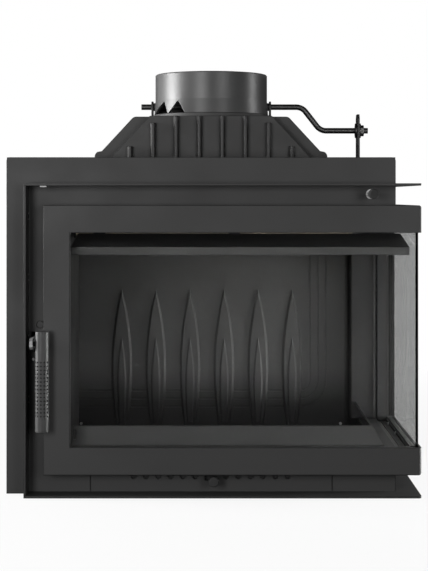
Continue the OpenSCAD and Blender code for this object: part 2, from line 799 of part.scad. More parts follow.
// Angle strips behind the glass: a leg along the edge of the light opening and a foot behind the glass
retain_w = 16;
module three_sides(far, z0, z1, near, w) {
  difference() {
    rect([far - w, z0 - w], [near, z1 + w]);
    rect([far, z0], [near + over, z1]);
  }
}
retainer_end = x_out - retain_out;
module front_retainer() color(inner_iron) {
  upright(y_out + retain_in, y_out + retain_out)
    three_sides(light_x0, light_z0, light_z1, retainer_end, leg_t);
  upright(y_out + retain_out - leg_t, y_out + retain_out)
    three_sides(light_x0, light_z0, light_z1, retainer_end, retain_w);
}
module side_retainer() color(inner_iron) {
  mirror([0, 1, 0]) {
    sideways(x_out - retain_out, x_out - retain_in)
      three_sides(-light_y1, light_z0, light_z1, -y_out - retain_out - seat_gap, leg_t);
    sideways(x_out - retain_out, x_out - retain_out + leg_t)
      three_sides(-light_y1, light_z0, light_z1, -y_out - retain_out - seat_gap, retain_w);
  }
}

// Pan head screws that hold the angle strips to the inner frame, seen from inside the firebox
screw_head_r = 2.4;
screw_head_t = 2;
screw_in = leg_t + screw_head_r + seat_gap;
front_screw_xs = [light_x0 + stile_w, (light_x0 + x_out) / 2, x_out - stile_w * 2];
side_screw_ys = [y_f, (y_f + light_y1) / 2, light_y1 - stile_w];
module retainer_screws() color(steel) {
  for (z = [light_z0 - screw_in, light_z1 + screw_in]) {
    for (x = front_screw_xs) bar_y(y_out + inner_in, y_out + inner_in + screw_head_t, x, z, screw_head_r);
    for (y = side_screw_ys) bar_x(x_out - inner_in - screw_head_t, x_out - inner_in, y, z, screw_head_r);
  }
}

// Rope seal that bears on the front plate and on the body's right side
seal_z0 = floor_z - seal_w / 2 - 2 * over;
seal_z1 = opening_top + seal_w;
seal_x = door_x0 + door_sheet + seal_w / 2 + channel_wall + over;
seal_y = door_back - door_sheet - seal_w / 2 - channel_wall - over;
seal_out = proud - seat_gap;
channel_in = inner_in + channel_deep;
module seal_run(w, in0, in1) {
  for (z = [seal_z0, seal_z1]) level(z - w / 2, z + w / 2) difference() {
    corner_plan(in0);
    corner_plan(in1, over);
    rect([door_x0 - over, y_out], [seal_x - w / 2, y_f]);
    rect([x_r - over, seal_y + w / 2], [x_out, door_back + over]);
  }
  box([seal_x - w / 2, y_out + in0, seal_z0 - w / 2], [seal_x + w / 2, y_out + in1, seal_z1 + w / 2]);
  box([x_out - in1, seal_y - w / 2, seal_z0 - w / 2], [x_out - in0, seal_y + w / 2, seal_z1 + w / 2]);
}
module seal_channel() color(inner_iron) difference() {
  seal_run(seal_w + channel_wall * 2, inner_in, channel_in);
  seal_run(seal_w, inner_in + channel_base, channel_in + over);
}
module door_seal() color(rope_grey) seal_run(seal_w, inner_in + channel_base, seal_out);

// Lift-off hinges behind the side leg: a fixed knuckle with its pin, and the door's knuckle above it
hinge_x = x_r + hinge_reach + 2;
hinge_y = door_back + hinge_reach;
knuckle_r = 8;
knuckle_h = 30;
hinge_pin_r = 4;
hinge_low = 70;
hinge_drop = 94;
hinge_zs = [hinge_low, door_top - hinge_drop];
hinge_gap = 0.5;
arm_half_w = 6;
leaf_t = 3;
leaf_reach = 20;
bracket_long = 35;
module hinge_leaves() color(iron) for (z = hinge_zs) difference() {
  union() {
    bar_z(z + knuckle_h + hinge_gap, z + knuckle_h * 2, hinge_x, hinge_y, knuckle_r);
    box([hinge_x - arm_half_w, door_back, z + knuckle_h + hinge_gap], [hinge_x + arm_half_w, hinge_y, z + knuckle_h * 2]);
    box([hinge_x - arm_half_w, door_back, z + knuckle_h + hinge_gap],
        [hinge_x + leaf_reach, door_back + leaf_t, z + knuckle_h * 2]);
  }
  bar_z(z, z + knuckle_h * 2 + over, hinge_x, hinge_y, hinge_pin_r + run_gap);
}
module hinge_brackets() color(iron) for (z = hinge_zs) difference() {
  union() {
    bar_z(z, z + knuckle_h, hinge_x, hinge_y, knuckle_r);
    box([x_r, hinge_y - arm_half_w, z], [hinge_x, hinge_y + arm_half_w, z + knuckle_h]);
    box([x_r, hinge_y - arm_half_w, z], [x_r + leaf_t, hinge_y + bracket_long, z + knuckle_h]);
  }
  bar_z(z - over, z + knuckle_h + over, hinge_x, hinge_y, hinge_pin_r);
}
pin_head_t = 3;
pin_head_r = 6;
module hinge_pins() color(bright) for (z = hinge_zs) {
  bar_z(z - pin_head_t, z, hinge_x, hinge_y, pin_head_r);
  bar_z(z, z + knuckle_h * 2 - over, hinge_x, hinge_y, hinge_pin_r);
}

// Handle: a perforated tube on a latch plate that turns on a short shaft at the door's left edge

grip_x = -266.8;
grip_y = y_out - grip_gap - grip_r;
grip_z0 = grip_top_z - grip_len;
grip_in = grip_r - grip_wall;
cap_t = 2.5;
cap_edge = 1.5;
hook_tip = 9;
hook_tip_rise = 5;
hole_columns = 12;
hole_turn = -4;
hole_low = 26;
module handle_grip() color(bright) difference() {
  difference() {
    bar_z(grip_z0 + cap_t, grip_top_z - cap_t, grip_x, grip_y, grip_r);
    bar_z(grip_z0, grip_top_z, grip_x, grip_y, grip_in);
  }
  for (row = [0:hole_rows - 1], k = [0:hole_columns - 1])
    translate([grip_x, grip_y, grip_z0 + hole_low + row * hole_pitch])
      rotate([90, 0, hole_turn + k * 360 / hole_columns]) translate([0, 0, grip_in - over])
        cylinder(h = grip_wall + 2 * over, d = hole_d);
  bar_x(hook_x0, grip_x, grip_y, (hook_z0 + hook_z1) / 2, stud_r + run_gap);
}

stud_r = 4;
rod_core_r = 6;
module cap_shape() {
  rotate_extrude() polygon(concat([[0, 0]], arc([grip_r - cap_edge, cap_edge], cap_edge, -90, 0),
    [[grip_r, cap_t], [grip_in - run_gap, cap_t], [grip_in - run_gap, cap_t * 2], [0, cap_t * 2]]));
}
module handle_caps() color(bright) {
  translate([grip_x, grip_y, grip_z0]) cap_shape();
  translate([grip_x, grip_y, grip_top_z]) mirror([0, 0, 1]) cap_shape();
}
module handle_rod() color(inner_iron) {
  bar_z(grip_z0 + cap_t * 2, grip_top_z - cap_t * 2, grip_x, grip_y, rod_core_r);
  bar_x(hook_x1, grip_x, grip_y, (hook_z0 + hook_z1) / 2, stud_r);
}

module latch_hook() color(steel) difference() {
  sideways(hook_x0, hook_x1) polygon([
    [grip_y - stud_r * 2, hook_z0 + stud_r], [grip_y - stud_r, hook_z0], [pivot_y + pivot_r * 2, hook_z0],
    [y_f + hook_tip, hook_z0 + hook_tip_rise], [y_f + hook_tip, hook_z1 - hook_tip_rise / 2],
    [y_f + hook_tip - hook_tip_rise / 2, hook_z1], [grip_y - stud_r, hook_z1], [grip_y - stud_r * 2, hook_z1 - stud_r]]);
  bar_x(hook_x0 - over, hook_x1 + over, pivot_y, pivot_z, pivot_r);
}

block_deep = 14;
pivot_shoulder_r = 6.5;
pivot_head_t = 2.5;
pivot_head_r = 5;
module handle_pivot() color(steel) {
  bar_x(hook_x0, door_x0 + door_sheet + block_deep, pivot_y, pivot_z, pivot_r);
  bar_x(hook_x1, door_x0 - seat_gap, pivot_y, pivot_z, pivot_shoulder_r);
  bar_x(hook_x0 - pivot_head_t, hook_x0, pivot_y, pivot_z, pivot_head_r);
}
// The block lies between the door's sheet and its inner frame
module pivot_block() color(inner_iron) difference() {
  box([door_x0 + door_sheet, y_out + door_sheet, pivot_z - pivot_shoulder_r - over],
      [door_x0 + door_sheet + block_deep, y_out + retain_out, pivot_z + pivot_shoulder_r + over]);
  bar_x(door_x0, door_x0 + stile_w, pivot_y, pivot_z, pivot_r + run_gap);
}

keeper_t = 3;
keeper_edge = 8;
keeper_top = plug_z + plug_r + 4;
keeper_foot = dot_z - dot_r - 6;
module keeper() color(steel) upright(y_fi, y_fi + keeper_t) difference() {
  rect([slot_x0 - keeper_edge, keeper_foot], [slot_x1 + keeper_edge, keeper_top]);
  latch_slot();
  translate([plug_x, plug_z]) circle(plug_r / 2 + run_gap);
  translate([dot_x, dot_z]) circle(dot_r + run_gap);
}
// A flush plug above the slot and a small round head below it
plug_flush = 0.3;
module keeper_screws() color(iron) {
  bar_y(y_f + plug_flush, y_fi, plug_x, plug_z, plug_r);
  bar_y(y_fi, y_fi + keeper_t + over, plug_x, plug_z, plug_r / 2);
  bar_y(y_f - dot_r / 2, y_f, dot_x, dot_z, dot_r * 1.2);
  bar_y(y_f, y_fi + keeper_t + over, dot_x, dot_z, dot_r);
}

// Firebox

// A leaf's half width at a height: two arcs that meet upright at the widest place
function arc_radius(w, h) = (h * h + w * w) / (2 * w);
function bow(w, h, d) = let (r = arc_radius(w, h)) r - sqrt(r * r - d * d);
function leaf_width(z, tip, wide, half, foot_w, foot_z) =
  z > wide ? half - bow(half, tip - wide, z - wide) : half - bow(half - foot_w, wide - foot_z, wide - z);
leaf_steps = 11;
leaf_foot_z = 62;
leaf_low_z = basin_z + 3;
inner_foot_w = 5;
inner_wide_z = 140;
// Outline of a leaf from its low end up to the tip and down again, with its steps closer near the tip
function leaf_outline(tip, low, wide, half, foot_w) =
  let (side = [for (i = [0:leaf_steps]) let (z = low + (tip - low) * sin(90 * i / leaf_steps))
    [leaf_width(z, tip, wide, half, foot_w, leaf_foot_z), z]])
  concat(side, [for (i = [leaf_steps - 1:-1:0]) [-side[i][0], side[i][1]]]);
// A raised leaf with sloping flanks, from a face out to its top
tip_slope = 3.6;
module raised(x, tip, low, wide, half, foot_w, flank, top_y, face_y) {
  outer = leaf_outline(tip, low, wide, half, foot_w);
  n = len(outer);
  narrow = (half - flank) / half;
  shorter = (tip - low - flank * tip_slope) / (tip - low);
  inner = [for (p = outer) [p[0] * narrow, low + flank + (p[1] - low) * shorter]];
  points = concat([for (p = inner) [x + p[0], top_y, p[1]]], [for (p = outer) [x + p[0], face_y, p[1]]]);
  sides = [for (i = [0:n - 1]) let (j = (i + 1) % n) [i, j, j + n, i + n]];
  polyhedron(points, concat([[for (i = [n - 1:-1:0]) i]], sides, [[for (i = [0:n - 1]) i + n]]));
}

// Border: three grooves that come down the right side, round the corner and left along the foot
border_x = 213.7;
border_z = 91.8;
border_r = 50;
border_lines = 3;
function border_path(d) = concat([[-fire_left - over, border_z + d]],
  arc([border_x - border_r, border_z + border_r], border_r - d, -90, 0), [[border_x - d, opening_top + over]]);
module border(d) {
  inner = border_path(d + groove_w);
  polygon(concat(border_path(d), [for (i = [len(inner) - 1:-1:0]) inner[i]]));
}
fireback_x1 = post_x - 4;
fireback_z0 = basin_z - basin_t;
edge_step = 4;
module back_plate() color(inner_iron) {
  difference() {
    box([-fire_left, fireback_y, fireback_z0], [fireback_x1, fireback_y + fireback_t, opening_top]);
    for (k = [0:border_lines - 1]) upright(fireback_y - over, fireback_y + groove_depth) border(k * groove_pitch);
    box([fireback_x1 - edge_step, fireback_y - over, fireback_z0 - over],
        [fireback_x1 + over, fireback_y + groove_depth, opening_top + over]);
  }
  for (i = [0:leaves - 1]) {
    x = leaf_mid_x + (i - (leaves - 1) / 2) * leaf_pitch;
    raised(x, leaf_tip_z, leaf_low_z, leaf_wide_z, leaf_half_w, leaf_foot_w, leaf_flank,
           fireback_y - leaf_rise, fireback_y + groove_depth * 1.5);
    raised(x, inner_tip_z, leaf_low_z + leaf_flank * 2, inner_wide_z, inner_half_w, inner_foot_w, leaf_flank / 2,
           fireback_y - leaf_rise - inner_rise, fireback_y - leaf_rise + run_gap);
  }
}

plate_screw_x = [-242, 239.5];
plate_screw_z = 61.5;
plate_screw_r = 2.6;
module plate_screws() color(steel) for (x = plate_screw_x)
  bar_y(fireback_y - screw_head_t, fireback_y, x, plate_screw_z, plate_screw_r);

liner_t = 6;
fireback_y1 = fireback_y + fireback_t;
module liner_left() color(inner_iron)
  box([-fire_left - liner_t, y_fi, fireback_z0], [-fire_left, fireback_y1, opening_top]);

module rear_post() color(iron) {
  box([post_x, post_y, floor_z + sill_t], [x_ri, post_y + plate_t, opening_top]);
  box([post_x, post_y + plate_t, floor_z + sill_t], [post_x + plate_t, fireback_y1, opening_top]);
}

ceiling_t = 5;
ceiling_z = opening_top + ceiling_t;
module firebox_top() color(inner_iron) difference() {
  box([-fire_left - liner_t, y_fi, opening_top], [x_ri, fireback_y1, ceiling_z]);
  box([-throat_half_w + throat_sheet, throat_y0 + throat_sheet, opening_top - over],
      [throat_half_w - throat_sheet, throat_y1 - throat_sheet, ceiling_z + over]);
}

module throat_duct() color(inner_iron) difference() {
  box([-throat_half_w, throat_y0, ceiling_z], [throat_half_w, throat_y1, z_top]);
  box([-throat_half_w + throat_sheet, throat_y0 + throat_sheet, ceiling_z - over],
      [throat_half_w - throat_sheet, throat_y1 - throat_sheet, z_top + over]);
}

// Baffle: it rises from the back plate towards the front, and hangs on four bars
baffle_t = 12;
baffle_drop = 53;
baffle_z0 = opening_top - baffle_drop;
baffle_rise = 26;
baffle_y0 = -48;
baffle_side = 10;
baffle_x0 = -fire_left + baffle_side;
baffle_x1 = post_x - baffle_side;
module baffle_plate() color([0.55, 0.5, 0.42]) sideways(baffle_x0, baffle_x1)
  polygon([[baffle_y0, baffle_z0 + baffle_rise], [fireback_y - over, baffle_z0], [fireback_y - over, baffle_z0 + baffle_t],
           [baffle_y0, baffle_z0 + baffle_rise + baffle_t]]);

hanger_w = 20;
hanger_t = 4;
hanger_gap = 1;
hanger_foot = 20;
hanger_ys = [-30, 80];
deflector_hanger_xs = [-200, 30, 250];
deflector_z1 = lip_z + lip_h;
function baffle_foot(y) = baffle_z0 + baffle_rise * (fireback_y - over - y) / (fireback_y - over - baffle_y0);
function slope_z(y) = deflector_z1 + slope_rise * (y - y_f) / slope_run;
// A hook that comes down beside the baffle's end at x and turns in under it
module hook(y, x, side) {
  arm = x + side * (hanger_gap + hanger_t / 2);
  sideways(arm - hanger_t / 2, arm + hanger_t / 2) polygon([
    [y, baffle_foot(y) - hanger_t], [y + hanger_w, baffle_foot(y + hanger_w) - hanger_t],
    [y + hanger_w, opening_top], [y, opening_top]]);
  sideways(min(arm, x - side * hanger_foot), max(arm, x - side * hanger_foot)) polygon([
    [y, baffle_foot(y) - hanger_t], [y + hanger_w, baffle_foot(y + hanger_w) - hanger_t],
    [y + hanger_w, baffle_foot(y + hanger_w)], [y, baffle_foot(y)]]);
}
// Flat bars from the firebox's ceiling: hooks under the baffle, and straps on the deflector
module hangers() color(inner_iron) {
  for (x = deflector_hanger_xs) sideways(x, x + hanger_w)
    polygon([[y_f + slope_run - hanger_t, slope_z(y_f + slope_run - hanger_t)], [y_f + slope_run, slope_z(y_f + slope_run)],
             [y_f + slope_run, opening_top], [y_f + slope_run - hanger_t, opening_top]]);
  for (y = hanger_ys) {
    hook(y, baffle_x0, -1);
    hook(y, baffle_x1, 1);
  }
}

// Deflector: a lip across the front and a slope that rises behind it
deflector_gap = 18;
deflector_x0 = light_x0 - 1.6;
deflector_x1 = x_out - retain_in - 6;
module air_deflector() color(iron) sideways(deflector_x0, deflector_x1)
  polygon([[y_f, lip_z], [y_f + deflector_t, lip_z], [y_f + deflector_t, deflector_z1 - deflector_t],
           [y_f + slope_run, slope_z(y_f + slope_run) - deflector_t], [y_f + slope_run, slope_z(y_f + slope_run)],
           [y_f, deflector_z1]]);

// Sill: a ledge along the front and the right side of the basin
ledge_front = 23;
ledge_right = 31;
basin_x1 = x_r - ledge_right;
basin_y0 = y_f + ledge_front;
module sill() color(iron) difference() {
  box([-fire_left, y_f, floor_z], [x_r, post_y, sill_z]);
  box([-fire_left - over, basin_y0, floor_z - over], [basin_x1, post_y + over, sill_z + over]);
}

// Basin: a cast tray with a hole for the grate, standing on webs on the base plate
grate_x0 = -grate_len / 2;
grate_y0 = -grate_deep * 0.72;
grate_ledge = 8;
grate_x1 = grate_x0 + grate_len;
grate_y1 = grate_y0 + grate_deep;
web_in = 30;
basin_foot = basin_z - basin_t;
basin_lap = 10;
module basin() color(inner_iron) difference() {
  union() {
    box([-fire_left, basin_y0 - basin_t, basin_foot], [basin_x1 + basin_t, fireback_y, basin_z]);
    box([-fire_left, basin_y0 - basin_t, basin_z], [basin_x1 + basin_t, basin_y0, floor_z]);
    box([basin_x1, basin_y0, basin_z], [basin_x1 + basin_t, fireback_y, floor_z]);
    for (x = [-fire_left, -fire_left + web_in * 2, basin_x1 - web_in, basin_x1])
      box([x, basin_y0, base_sheet], [x + basin_t, fireback_y, basin_foot]);
    box([grate_x0 - basin_lap, grate_y0 - basin_lap, basin_foot - basin_t], [grate_x1 + basin_lap, grate_y1 + basin_lap, basin_foot]);
  }
  box([grate_x0 - slide_gap * 2, grate_y0 - slide_gap * 2, basin_z - grate_t],
      [grate_x1 + slide_gap * 2, grate_y1 + slide_gap * 2, basin_z + over]);
  box([grate_x0 + grate_ledge, grate_y0 + grate_ledge, base_sheet + pan_lift],
      [grate_x1 - grate_ledge, grate_y1 - grate_ledge, basin_z]);
}

slot_edge = 20;
slot_share = 0.5;
grate_step = (grate_len - 2 * slot_edge) / grate_slots;
grate_bar = grate_deep / 2 - slot_edge * 1.5;
module grate() color(inner_iron) difference() {
  box([grate_x0, grate_y0, basin_z - grate_t], [grate_x1, grate_y1, basin_z]);
  for (i = [0:grate_slots - 1], half = [0, 1])
    translate([grate_x0 + slot_edge + (i + (1 - slot_share) / 2) * grate_step,
               grate_y0 + slot_edge + half * (grate_bar + slot_edge), basin_z - grate_t - over])
      cube([grate_step * slot_share, grate_bar, grate_t + 2 * over]);
}

pan_gap = 3;
pan_lift = 0.5;
pan_x0 = grate_x0 + grate_ledge + pan_gap;
pan_x1 = grate_x1 - grate_ledge - pan_gap;
pan_y0 = grate_y0 + grate_ledge + pan_gap;
pan_y1 = grate_y1 - grate_ledge - pan_gap;
pan_z0 = base_sheet + pan_lift;
module ash_pan() color(steel) difference() {
  box([pan_x0, pan_y0, pan_z0], [pan_x1, pan_y1, pan_z0 + pan_h]);
  box([pan_x0 + pan_sheet, pan_y0 + pan_sheet, pan_z0 + pan_sheet],
      [pan_x1 - pan_sheet, pan_y1 - pan_sheet, pan_z0 + pan_h + over]);
}

// Log guard: two leaning plates that meet in a mitre at the front right corner
guard_foot_gap = 0.3;
guard_z0 = sill_z + guard_foot_gap;
guard_front = 5;
guard_right = 17.5;
guard_left = 0.5;
guard_y = y_f + guard_front;
guard_x = x_r - guard_right;
guard_x0 = light_x0 - guard_left;
guard_slot_x = guard_x0 + 2;
guard_slot_w = 3.5;
guard_slot_z = 86;
guard_slot_h = 14;
// Section across a leaning plate whose foot starts at zero and leans to the right
function lean_section() = [[0, guard_z0], [guard_t, guard_z0], [guard_lean + guard_t, guard_top_z], [guard_lean, guard_top_z]];
module log_guard() color(iron) difference() {
  union() {
    intersection() {
      translate([0, guard_y, 0]) sideways(guard_x0, guard_x) polygon(lean_section());
      level(0, body_h) polygon([[guard_x0, guard_y], [guard_x, guard_y],
        [guard_x - guard_lean * 2, guard_y + guard_lean * 2], [guard_x0, guard_y + guard_lean * 2]]);
    }
    intersection() {
      translate([guard_x, 0, 0]) mirror([1, 0, 0]) upright(guard_y, post_y - seat_gap) polygon(lean_section());
      level(0, body_h) polygon([[guard_x, guard_y], [guard_x, post_y], [guard_x - guard_lean * 2, post_y],
        [guard_x - guard_lean * 2, guard_y + guard_lean * 2]]);
    }
  }
  box([guard_slot_x, guard_y - over, guard_slot_z], [guard_slot_x + guard_slot_w, guard_y + guard_lean + guard_t + over, guard_slot_z + guard_slot_h]);
}

// Air register

air_travel = air_pitch / 2;
air_xs = [for (side = [-1, 1], i = [0:air_holes - 1]) side * (air_first + i * air_pitch)];
stem_r = 3;
strap_w = 10;
strap_t = 3;
register_z0 = seat_gap;
module register_panel() color(iron) {
  upright(y_f, y_fi) difference() {
    rect([-register_left + seat_gap, register_z0], [register_right - seat_gap, register_h]);
    for (x = air_xs) translate([x, air_z]) circle(air_hole_d / 2);
    rect([air_knob_x - air_travel - stem_r - over, air_knob_z - stem_r - slide_gap],
         [air_knob_x + stem_r + over, air_knob_z + stem_r + slide_gap]);
  }
  for (x = [-register_left - strap_w, register_right - strap_w])
    box([x, y_fi, base_sheet + seat_gap], [x + strap_w * 2, y_fi + strap_t, register_h]);
}

slider_t = 2;
slider_half = 12;
slider_z0 = air_z - slider_half;
slider_z1 = air_z + slider_half;
slider_end = 15;
slider_y0 = y_fi + slide_gap;
slider_x1 = air_first + (air_holes - 1) * air_pitch + slider_end;
module air_slider() color(inner_iron) upright(slider_y0, slider_y0 + slider_t) difference() {
  rect([-slider_x1 + air_travel, slider_z0], [slider_x1 + air_travel, slider_z1]);
  for (x = air_xs) translate([x + air_travel, air_z]) circle(air_hole_d / 2);
}

air_knob_gap = 19;
air_knob_y1 = y_f - air_knob_gap;
module air_knob() color(inner_iron) {
  translate([air_knob_x, air_knob_y1, air_knob_z]) knob_shape(knob_d / 2, knob_len, 0, 0);
  bar_y(air_knob_y1, slider_y0, air_knob_x, air_knob_z, stem_r);
}

base_plate();
casing_left();
casing_right();
casing_rear();
casing_top();
front_plate();
trim_left();
trim_top();
trim_bottom();
hood();
flue_ring();
flue_collar();
shaft_bushes();
damper_shaft();
damper_flap();
flap_saddles();
crank_washers();
crank_nut();
lever_strip();
pull_rod();
damper_knob();
rod_bush();
rod_guide();
door_frame();
door_inner_frame();
front_glass();
side_glass();
front_retainer();
side_retainer();
retainer_screws();
seal_channel();
door_seal();
hinge_leaves();
hinge_brackets();
hinge_pins();
handle_grip();
handle_caps();
handle_rod();
latch_hook();
handle_pivot();
pivot_block();
keeper();
keeper_screws();
back_plate();
plate_screws();
liner_left();
rear_post();
firebox_top();
throat_duct();
baffle_plate();
hangers();
air_deflector();
sill();
basin();
grate();
ash_pan();
log_guard();
register_panel();
air_slider();
air_knob();
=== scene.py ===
# %% [markdown]
# # A corner fireplace insert in Blender
# The insert is a black steel box with cast iron inside and on top, and an L-shaped door of glass
# that goes round its front right corner. Its shapes come from a packed model, so this lesson
# gives each piece its finish, adds what a flat-sided model leaves out, and lights the whole.

# %% Load the packed model
import math

import bpy
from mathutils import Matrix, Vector


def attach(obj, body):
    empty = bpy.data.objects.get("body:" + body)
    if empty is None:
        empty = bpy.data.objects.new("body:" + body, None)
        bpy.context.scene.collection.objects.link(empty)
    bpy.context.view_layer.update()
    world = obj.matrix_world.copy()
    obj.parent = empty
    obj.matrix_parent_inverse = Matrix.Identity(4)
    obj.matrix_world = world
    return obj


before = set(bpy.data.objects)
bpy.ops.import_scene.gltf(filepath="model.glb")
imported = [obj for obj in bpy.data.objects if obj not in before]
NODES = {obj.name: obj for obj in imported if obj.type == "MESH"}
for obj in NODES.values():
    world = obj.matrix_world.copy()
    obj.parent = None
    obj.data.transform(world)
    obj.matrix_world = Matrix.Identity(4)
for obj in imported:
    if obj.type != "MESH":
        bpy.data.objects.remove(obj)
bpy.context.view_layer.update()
print("pieces loaded:", len(NODES))

# %% [markdown]
# ## Camera
# The photograph was taken from in front, level with the door's top edge, with a long lens. Its
# upright lines stay parallel, so the camera looks straight ahead. Tilting it down would make
# those lines lean, so the picture is shifted instead, as a view camera does. The lens and the
# shift come from the vanishing point of the insert's side edges, in pixels of the photograph.

# %% Camera
PHOTO = (428, 571)
VANISHING = (218, 197)
FOCAL_PX = 1414.5
CAMERA_AT = Vector((0.012, -2.515, 0.4823))

camera_data = bpy.data.cameras.new("camera")
camera_data.sensor_width = 36
camera_data.lens = FOCAL_PX / PHOTO[1] * camera_data.sensor_width
camera_data.shift_x = (PHOTO[0] / 2 - VANISHING[0]) / PHOTO[1]
camera_data.shift_y = (VANISHING[1] - PHOTO[1] / 2) / PHOTO[1]
camera = bpy.data.objects.new("camera", camera_data)
camera.location = CAMERA_AT
camera.rotation_euler = (math.radians(90), 0, 0)
bpy.context.scene.collection.objects.link(camera)
bpy.context.scene.camera = camera
print("lens", round(camera_data.lens, 1), "mm")
print("shift", round(camera_data.shift_x, 4), round(camera_data.shift_y, 4))

# %% [markdown]
# ## Lamps
# Black paint shows little of its own colour, so what models it is the light. A large soft lamp on
# the left draws a bright edge down everything round, with weaker ones behind it and on the right.
# Two stand in front, far enough out that the front pane doesn't mirror them to the camera. A
# small one low on the right shines through the side pane along the back plate, and so draws the
# leaves: a lamp in front would light both flanks of a leaf alike and lose them.

# %% Lamps
def lamp(name, at, aim, size, power):
    """A soft rectangular lamp at a place, aimed at a point."""
    data = bpy.data.lights.new(name, "AREA")
    data.shape = "RECTANGLE"
    data.size, data.size_y = size
    data.energy = power
    thing = bpy.data.objects.new(name, data)
    thing.location = at
    thing.rotation_euler = (Vector(aim) - Vector(at)).to_track_quat("-Z", "Y").to_euler()
    bpy.context.scene.collection.objects.link(thing)


lamp("left_lamp", at=(-2.4, -0.2, 0.75), aim=(0, 0, 0.45), size=(1.1, 1.0), power=100)
lamp("left_back", at=(-2.2, 1.6, 0.8), aim=(0, 0, 0.5), size=(1.4, 1.6), power=6)
lamp("right_lamp", at=(2.4, 0.1, 0.95), aim=(0, 0, 0.62), size=(0.5, 0.7), power=11)
lamp("low_right", at=(0.9, -0.15, 0.09), aim=(0, 0, 0.2), size=(0.12, 0.12), power=8)
lamp("left_key", at=(-0.95, -2.6, 0.65), aim=(0, -0.2, 0.35), size=(0.7, 1.0), power=25)
lamp("right_key", at=(1.08, -2.6, 0.65), aim=(0, -0.2, 0.35), size=(0.7, 1.0), power=16)
print("lamps:", len(bpy.data.lights))

# %% [markdown]
# ## Background rays
# The photograph's background is pure white, but a white room would also light the black paint
# and lay a veil over the panes. Light Path tells one ray from another, so the world and the floor
# can be white only for rays that show the background. Those are the camera's own rays and the
# ones that went through glass without any other bounce.

# %% Tell background rays from the others
def background_rays(tree):
    """One for rays that show the background, zero for the others."""
    rays = tree.nodes.new("ShaderNodeLightPath")

    def join(operation, first, second):
        math_node = tree.nodes.new("ShaderNodeMath")
        math_node.operation = operation
        tree.links.new(first, math_node.inputs[0])
        if isinstance(second, float):
            math_node.inputs[1].default_value = second
        else:
            tree.links.new(second, math_node.inputs[1])
        return math_node.outputs[0]

    bounces = join("ADD", rays.outputs["Diffuse Depth"], rays.outputs["Glossy Depth"])
    straight = join("LESS_THAN", bounces, 0.5)
    through = join("MULTIPLY", rays.outputs["Is Transmission Ray"], straight)
    return join("MAXIMUM", rays.outputs["Is Camera Ray"], through)


print("background rays: the camera's own, and those through glass alone")

# %% [markdown]
# ## White room
# A studio isn't evenly bright: it is dark near the horizon, lighter a little above it, where the
# soft walls are, and dark again overhead. That could be a box of large lamps. A ramp over the
# height of the view does the same in one node, keeps the panes clear, and leaves upper edges dark.

# %% World
ROOM_LEVELS = ((0.0, 0.03), (0.12, 0.05), (0.32, 0.18), (0.8, 0.02))
WHITE = (1, 1, 1, 1)

world = bpy.data.worlds.new("white_room")
bpy.context.scene.world = world
world.use_nodes = True
tree = world.node_tree
tree.nodes.clear()
axes = tree.nodes.new("ShaderNodeSeparateXYZ")
tree.links.new(tree.nodes.new("ShaderNodeTexCoord").outputs["Generated"], axes.inputs[0])
up = tree.nodes.new("ShaderNodeValToRGB")
tree.links.new(axes.outputs["Z"], up.inputs["Fac"])
levels = up.color_ramp.elements
levels[0].position, levels[1].position = ROOM_LEVELS[0][0], ROOM_LEVELS[-1][0]
for height, _ in ROOM_LEVELS[1:-1]:
    levels.new(height)
for element, (_, level) in zip(levels, ROOM_LEVELS):
    element.color = (level, level, level, 1)
dim = tree.nodes.new("ShaderNodeBackground")
dim.inputs["Color"].default_value = WHITE
tree.links.new(up.outputs[0], dim.inputs["Strength"])
white = tree.nodes.new("ShaderNodeBackground")
white.inputs["Color"].default_value = WHITE
white.inputs["Strength"].default_value = 1
choose = tree.nodes.new("ShaderNodeMixShader")
out = tree.nodes.new("ShaderNodeOutputWorld")
tree.links.new(background_rays(tree), choose.inputs["Fac"])
tree.links.new(dim.outputs[0], choose.inputs[1])
tree.links.new(white.outputs[0], choose.inputs[2])
tree.links.new(choose.outputs[0], out.inputs["Surface"])
bpy.context.scene.view_settings.view_transform = "Standard"
print("room levels:", len(levels))

# %% [markdown]
# ## Floor
# The insert stands on white paper whose edge is out of sight. One large face is enough for that,
# a hair below the insert's underside, so that the two don't flicker into each other.

# %% Floor
FLOOR_HALF = 12
FLOOR_Z = -0.0005
CORNERS = ((-1, -1), (1, -1), (1, 1), (-1, 1))

floor_mesh = bpy.data.meshes.new("floor")
floor_mesh.from_pydata([(x * FLOOR_HALF, y * FLOOR_HALF, FLOOR_Z) for x, y in CORNERS], [], [(0, 1, 2, 3)])
floor = bpy.data.objects.new("floor", floor_mesh)
bpy.context.scene.collection.objects.link(floor)
print("floor:", 2 * FLOOR_HALF, "m across")

# %% [markdown]
# ## Floor paint
# A matt floor alone goes grey with distance, and a glowing one alone has no shadow. So the two
# are mixed: near the insert a seventh of the floor is matt and keeps its shadow, and further out
# it only glows. Rays that don't show the background meet a dark matt floor, because a white one
# would light the insert from below.

# %% Floor paint
DARK_FLOOR, LIGHT_FLOOR = 0.05, 0.9
SHADOW_REACH = (0.45, 1.6)
GLOW_SHARE = (0.86, 1.0)

